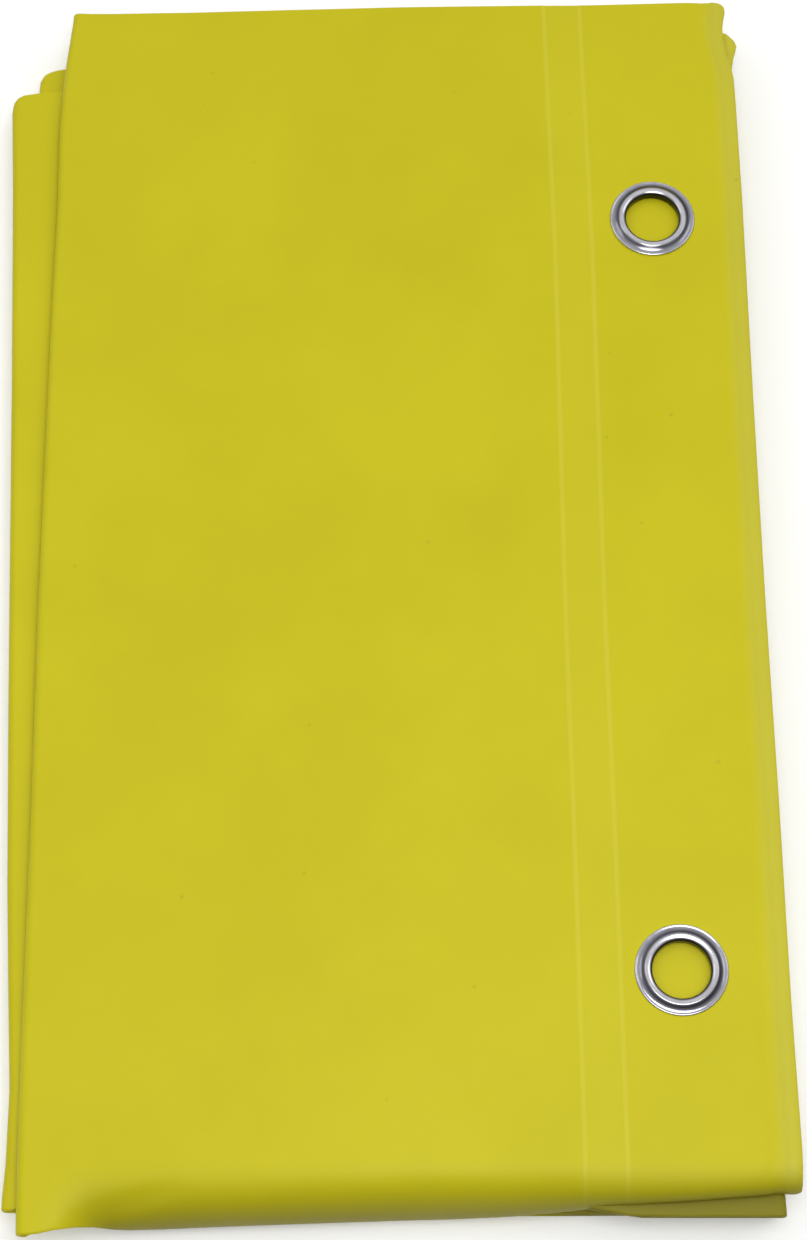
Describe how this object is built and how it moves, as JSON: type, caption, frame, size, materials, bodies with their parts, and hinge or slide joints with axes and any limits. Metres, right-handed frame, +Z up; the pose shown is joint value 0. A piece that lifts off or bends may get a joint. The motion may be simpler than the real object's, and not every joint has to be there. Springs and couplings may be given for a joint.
{
  "type": "welding curtain",
  "caption": "Folded welding curtain of yellow vinyl film with an eyelet hem, lying flat; it opens out like an accordion.",
  "frame": {"origin": "on the surface it lies on, under the middle of the bundle's bounding box", "axes": "+Z up, +Y along the eyelet hem from the near fold to the far end, +X across the bundle towards the hem"},
  "size_m": [0.278, 0.4836, 0.0285],
  "materials": {
    "vinyl_film": "satin",
    "eyelet_nickel": "polished nickel plate",
    "washer_nickel": "polished nickel plate"
  },
  "bodies": {
    "leaf_7": {"curtain_leaf_7": "vinyl_film", "accordion_fold_6": "vinyl_film"},
    "leaf_6": {"curtain_leaf_6": "vinyl_film", "accordion_fold_5": "vinyl_film"},
    "leaf_5": {"curtain_leaf_5": "vinyl_film", "accordion_fold_4": "vinyl_film"},
    "leaf_4": {"curtain_leaf_4": "vinyl_film", "accordion_fold_3": "vinyl_film"},
    "leaf_3": {"curtain_leaf_3": "vinyl_film", "accordion_fold_2": "vinyl_film"},
    "leaf_2": {"curtain_leaf_2": "vinyl_film", "accordion_fold_1": "vinyl_film"},
    "leaf_1": {"curtain_leaf_1": "vinyl_film", "hem_ply": "vinyl_film", "eyelet_1": "eyelet_nickel", "eyelet_2": "eyelet_nickel", "eyelet_3": "eyelet_nickel", "eyelet_4": "eyelet_nickel", "eyelet_5": "eyelet_nickel", "eyelet_washer_1": "washer_nickel", "eyelet_washer_2": "washer_nickel", "eyelet_washer_3": "washer_nickel", "eyelet_washer_4": "washer_nickel", "eyelet_washer_5": "washer_nickel"}
  },
  "joints": [
    {"name": "accordion_fold_6_opens", "type": "hinge", "parent": "leaf_7", "child": "leaf_6", "pos_m": [0.12852, 0, 0.003], "axis": [0, 1, 0], "range_deg": [0, 179.5], "deforming": ["accordion_fold_6"]},
    {"name": "accordion_fold_5_opens", "type": "hinge", "parent": "leaf_6", "child": "leaf_5", "pos_m": [-0.13302, 0, 0.0062], "axis": [0, -1, 0], "range_deg": [0, 179.5], "deforming": ["accordion_fold_5"]},
    {"name": "accordion_fold_4_opens", "type": "hinge", "parent": "leaf_5", "child": "leaf_4", "pos_m": [0.12752, 0, 0.0094], "axis": [0, 1, 0], "range_deg": [0, 179.5], "deforming": ["accordion_fold_4"]},
    {"name": "accordion_fold_3_opens", "type": "hinge", "parent": "leaf_4", "child": "leaf_3", "pos_m": [-0.13602, 0, 0.0126], "axis": [0, -1, 0], "range_deg": [0, 179.5], "deforming": ["accordion_fold_3"]},
    {"name": "accordion_fold_2_opens", "type": "hinge", "parent": "leaf_3", "child": "leaf_2", "pos_m": [0.12952, 0, 0.0158], "axis": [0, 1, 0], "range_deg": [0, 179.5], "deforming": ["accordion_fold_2"]},
    {"name": "accordion_fold_1_opens", "type": "hinge", "parent": "leaf_2", "child": "leaf_1", "pos_m": [-0.12402, 0, 0.019], "axis": [0, -1, 0], "range_deg": [0, 179.5], "deforming": ["accordion_fold_1"]}
  ],
  "couplings": [
    {"joint": "accordion_fold_5_opens", "follows": "accordion_fold_6_opens", "ratio": 1},
    {"joint": "accordion_fold_4_opens", "follows": "accordion_fold_6_opens", "ratio": 1},
    {"joint": "accordion_fold_3_opens", "follows": "accordion_fold_6_opens", "ratio": 1},
    {"joint": "accordion_fold_2_opens", "follows": "accordion_fold_6_opens", "ratio": 1},
    {"joint": "accordion_fold_1_opens", "follows": "accordion_fold_6_opens", "ratio": 1}
  ]
}
